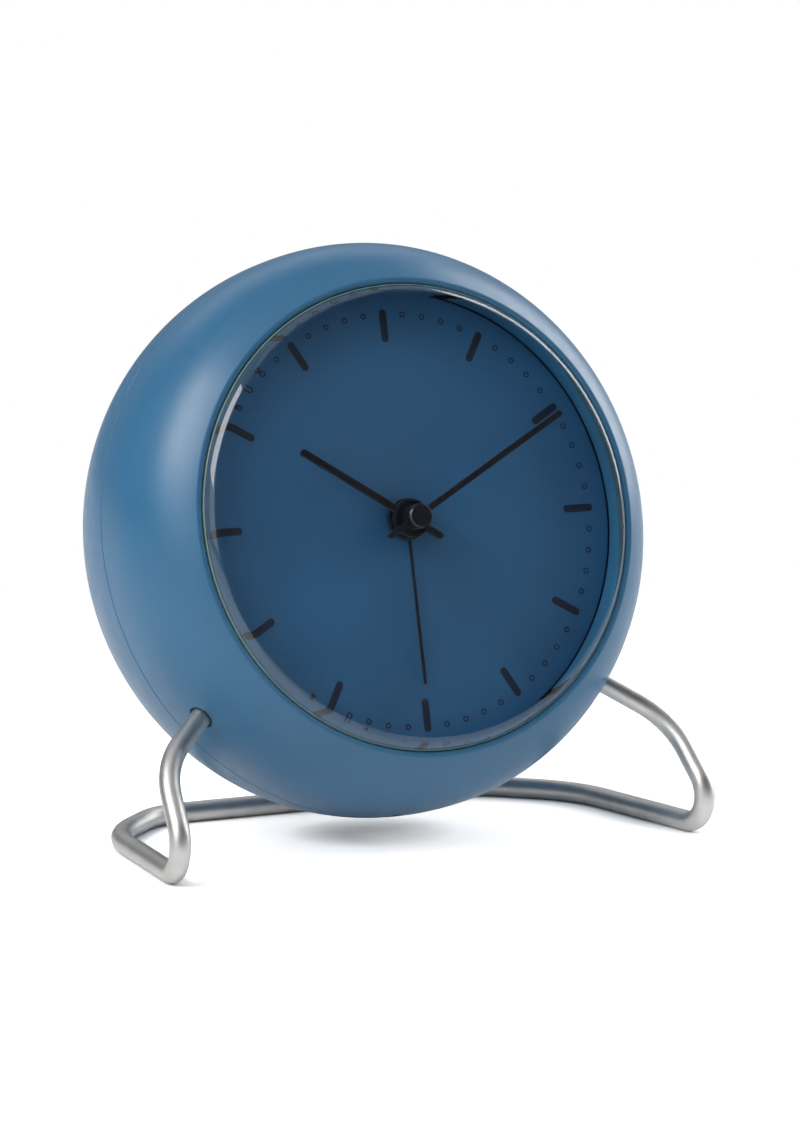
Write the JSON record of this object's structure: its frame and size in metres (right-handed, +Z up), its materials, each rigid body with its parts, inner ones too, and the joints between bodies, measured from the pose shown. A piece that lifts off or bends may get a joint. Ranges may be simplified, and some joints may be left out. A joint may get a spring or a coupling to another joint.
{
  "type": "table clock",
  "caption": "Round analogue alarm clock with a domed glass, leaning back in a bent wire stand, with setting knobs, alarm switch and battery door behind.",
  "frame": {"origin": "on the table under the middle of the clock's box, with the stand's wire resting on Z = 0", "axes": "+X to the right seen from the front, +Y from the dial to the back, +Z up"},
  "size_m": [0.1144, 0.079, 0.1132],
  "materials": {
    "blue_lacquer": "satin pearl blue lacquer on moulded plastic",
    "clear_glass": "clear domed glass with a ground bevel",
    "dark_rubber": "matt",
    "dial_blue": "fine matt print on a stiff disc",
    "black_print": "matt ink",
    "black_hands": "gloss black lacquer",
    "dark_moulding": "matt moulding",
    "white_moulding": "natural moulding",
    "panel_moulding": "fine spark texture",
    "screw_steel": "bright zinc",
    "arbor_brass": "turned",
    "board_green": "solder mask",
    "coil_copper": "enamelled copper winding",
    "cell_jacket": "plain printed jacket",
    "contact_nickel": "nickel plated",
    "stand_steel": "satin stainless wire"
  },
  "bodies": {
    "case": {"front_shell": "blue_lacquer", "rear_shell": "blue_lacquer", "crystal": "clear_glass", "crystal_gasket": "dark_rubber", "reflector_ring": "blue_lacquer", "dial": "dial_blue", "hour_bars": "black_print", "minute_rings": "black_print", "dial_carrier": "dark_moulding", "carrier_screws": "screw_steel", "movement_base": "white_moulding", "movement_cover": "white_moulding", "movement_screws": "screw_steel", "circuit_board": "board_green", "drive_coil": "coil_copper", "motor_unit": "white_moulding", "back_panel": "panel_moulding", "panel_screws": "screw_steel", "case_screws": "screw_steel", "switch_body": "screw_steel", "battery_cell": "cell_jacket", "plus_contact": "contact_nickel", "minus_contact": "contact_nickel", "buzzer": "arbor_brass", "wire_stand": "stand_steel"},
    "time_setting": {"time_stem": "white_moulding", "time_knob": "panel_moulding"},
    "minute": {"centre_arbor": "arbor_brass", "minute_hand": "black_hands", "hand_cap": "black_hands"},
    "minute_wheel": {"minute_wheel": "white_moulding"},
    "hour": {"hour_wheel": "white_moulding", "hour_hand": "black_hands"},
    "alarm_setting": {"alarm_stem": "white_moulding", "alarm_knob": "panel_moulding"},
    "alarm_idler": {"alarm_idler": "white_moulding"},
    "alarm": {"alarm_wheel": "white_moulding", "alarm_hand": "black_hands"},
    "alarm_switch": {"alarm_slider": "dark_moulding"},
    "battery_door": {"battery_door": "panel_moulding"}
  },
  "joints": [
    {"name": "time_knob_turn", "type": "hinge", "parent": "case", "child": "time_setting", "pos_m": [-0.013, -0.01454, 0.07871], "axis": [0, 0.9703, -0.2419], "continuous": true},
    {"name": "minute_hand_turn", "type": "hinge", "parent": "case", "child": "minute", "pos_m": [0, -0.01865, 0.06221], "axis": [0, 0.9703, -0.2419], "continuous": true},
    {"name": "minute_wheel_turn", "type": "hinge", "parent": "case", "child": "minute_wheel", "pos_m": [-0.01082, -0.0174, 0.06726], "axis": [0, 0.9703, -0.2419], "continuous": true},
    {"name": "hour_hand_turn", "type": "hinge", "parent": "case", "child": "hour", "pos_m": [0, -0.01865, 0.06221], "axis": [0, 0.9703, -0.2419], "continuous": true},
    {"name": "alarm_knob_turn", "type": "hinge", "parent": "case", "child": "alarm_setting", "pos_m": [0.013, -0.01454, 0.07871], "axis": [0, 0.9703, -0.2419], "continuous": true},
    {"name": "alarm_idler_turn", "type": "hinge", "parent": "case", "child": "alarm_idler", "pos_m": [0.01642, -0.01687, 0.06939], "axis": [0, 0.9703, -0.2419], "continuous": true},
    {"name": "alarm_hand_turn", "type": "hinge", "parent": "case", "child": "alarm", "pos_m": [0, -0.01865, 0.06221], "axis": [0, 0.9703, -0.2419], "continuous": true},
    {"name": "alarm_switch_slide", "type": "slide", "parent": "case", "child": "alarm_switch", "axis": [1, 0, 0], "range_m": [0, 0.004]},
    {"name": "battery_door_pull", "type": "slide", "parent": "case", "child": "battery_door", "axis": [0, 0.9703, -0.2419], "range_m": [0, 0.015]}
  ],
  "couplings": [
    {"joint": "minute_hand_turn", "follows": "time_knob_turn", "ratio": 1},
    {"joint": "minute_wheel_turn", "follows": "time_knob_turn", "ratio": -0.33333},
    {"joint": "hour_hand_turn", "follows": "time_knob_turn", "ratio": 0.083333},
    {"joint": "alarm_idler_turn", "follows": "alarm_knob_turn", "ratio": -0.41667},
    {"joint": "alarm_hand_turn", "follows": "alarm_knob_turn", "ratio": 0.27778}
  ]
}
